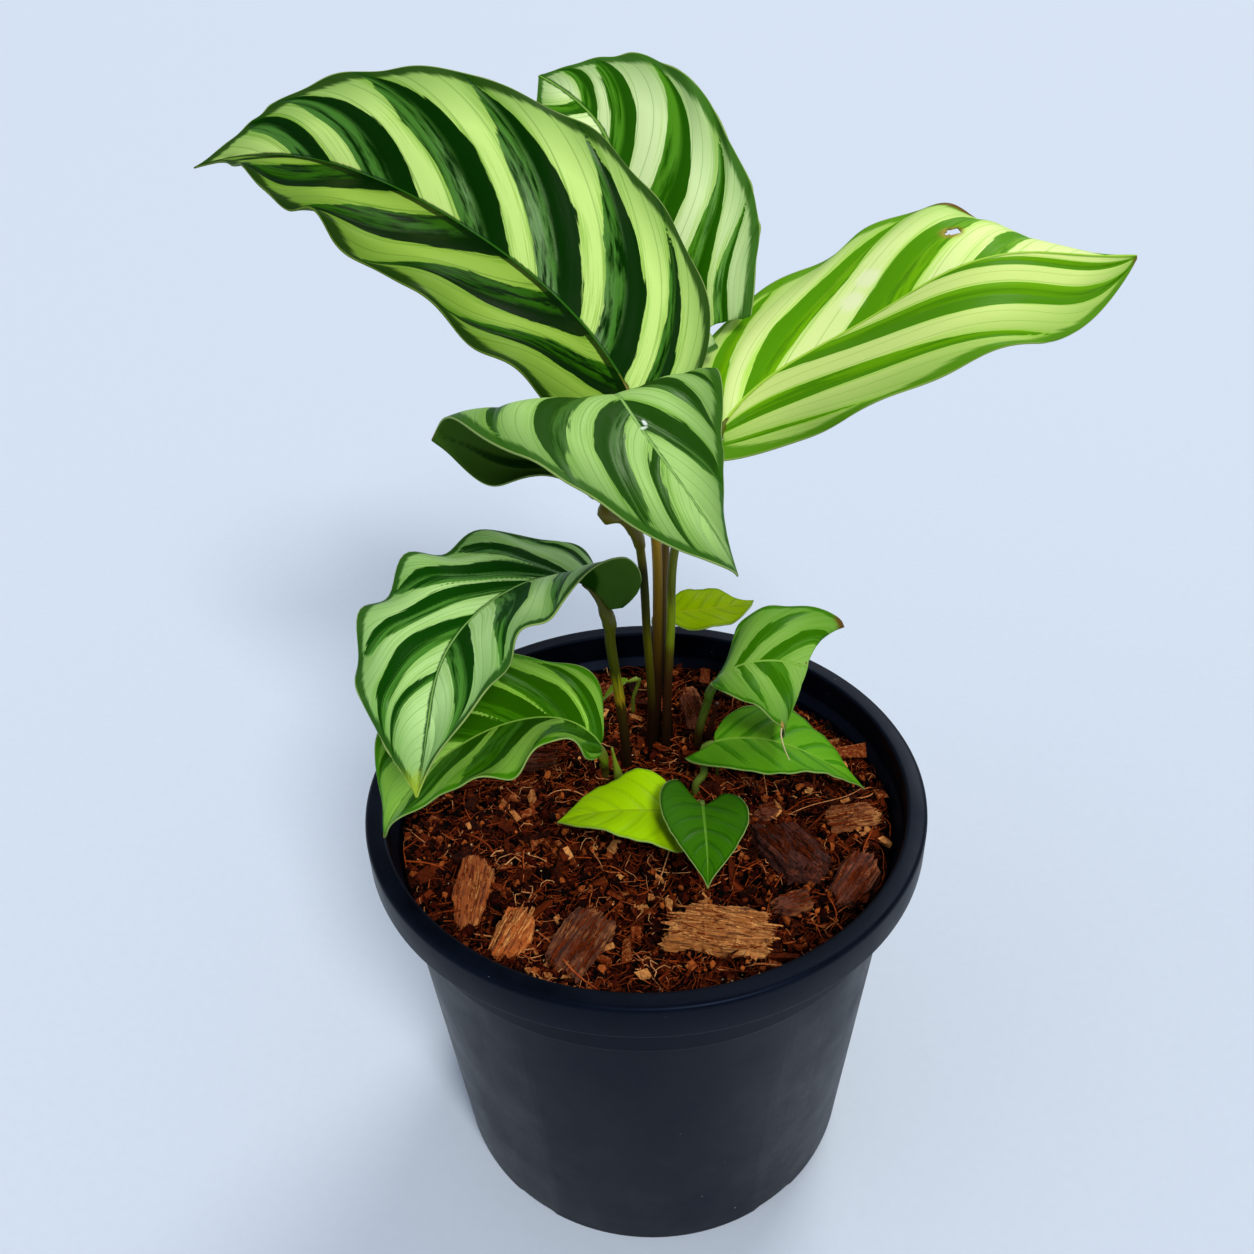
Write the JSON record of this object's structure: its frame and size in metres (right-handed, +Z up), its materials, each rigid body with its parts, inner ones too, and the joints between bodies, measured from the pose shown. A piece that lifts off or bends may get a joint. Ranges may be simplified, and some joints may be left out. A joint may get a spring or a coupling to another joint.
{
  "type": "potted prayer plant",
  "caption": "Young foliage plant with pale and dark striped, waved leaves on slender stems, in a black round nursery pot filled with coarse coir potting mix.",
  "frame": {"origin": "centre of the pot's underside, on its axis", "axes": "+Z up along the pot's axis, -Y towards the front of the plant, +X towards its right as seen from the front"},
  "size_m": [0.2729, 0.2306, 0.3185],
  "materials": {
    "pot": "satin black plastic, lightly dusty",
    "potting_mix": "damp loose coir fibre",
    "leaf_deep": "satin leaf, dark bands on pale green",
    "leaf_soft": "satin leaf, mid green bands on light green",
    "leaf_young": "satin yellow-green young leaf",
    "stem": "satin olive stem",
    "dry_stem": "dry brown stem",
    "husk": "rough fibrous husk"
  },
  "bodies": {
    "root": {"pot": "pot", "soil": "potting_mix", "leaf_upper_left": "leaf_deep", "stem_upper_left": "stem", "leaf_upper_back": "leaf_deep", "stem_upper_back": "stem", "leaf_upper_right": "leaf_soft", "stem_upper_right": "stem", "leaf_arched_front": "leaf_deep", "stem_arched_front": "stem", "leaf_arched_left": "leaf_deep", "stem_arched_left": "stem", "leaf_low_left": "leaf_soft", "stem_low_left": "stem", "leaf_back_small": "leaf_young", "stem_back_small": "stem", "leaf_split_right": "leaf_soft", "stem_split_right": "stem", "leaf_low_right": "leaf_soft", "stem_low_right": "stem", "leaf_front_young": "leaf_young", "stem_front_young": "stem", "leaf_front_heart": "leaf_deep", "stem_front_heart": "stem", "leaf_sprout": "leaf_young", "stem_sprout": "stem", "dry_stem": "dry_stem", "sheath_left": "stem", "sheath_right": "stem", "husk_block_left": "husk", "husk_block_front_left": "husk", "husk_flat_front": "husk", "husk_fibrous_front": "husk", "husk_slab_right": "husk", "husk_flat_right": "husk", "husk_edge_right": "husk", "husk_corner_right": "husk", "husk_small_right": "husk", "husk_back": "husk", "husk_back_left": "husk", "husk_left": "husk"}
  },
  "joints": []
}
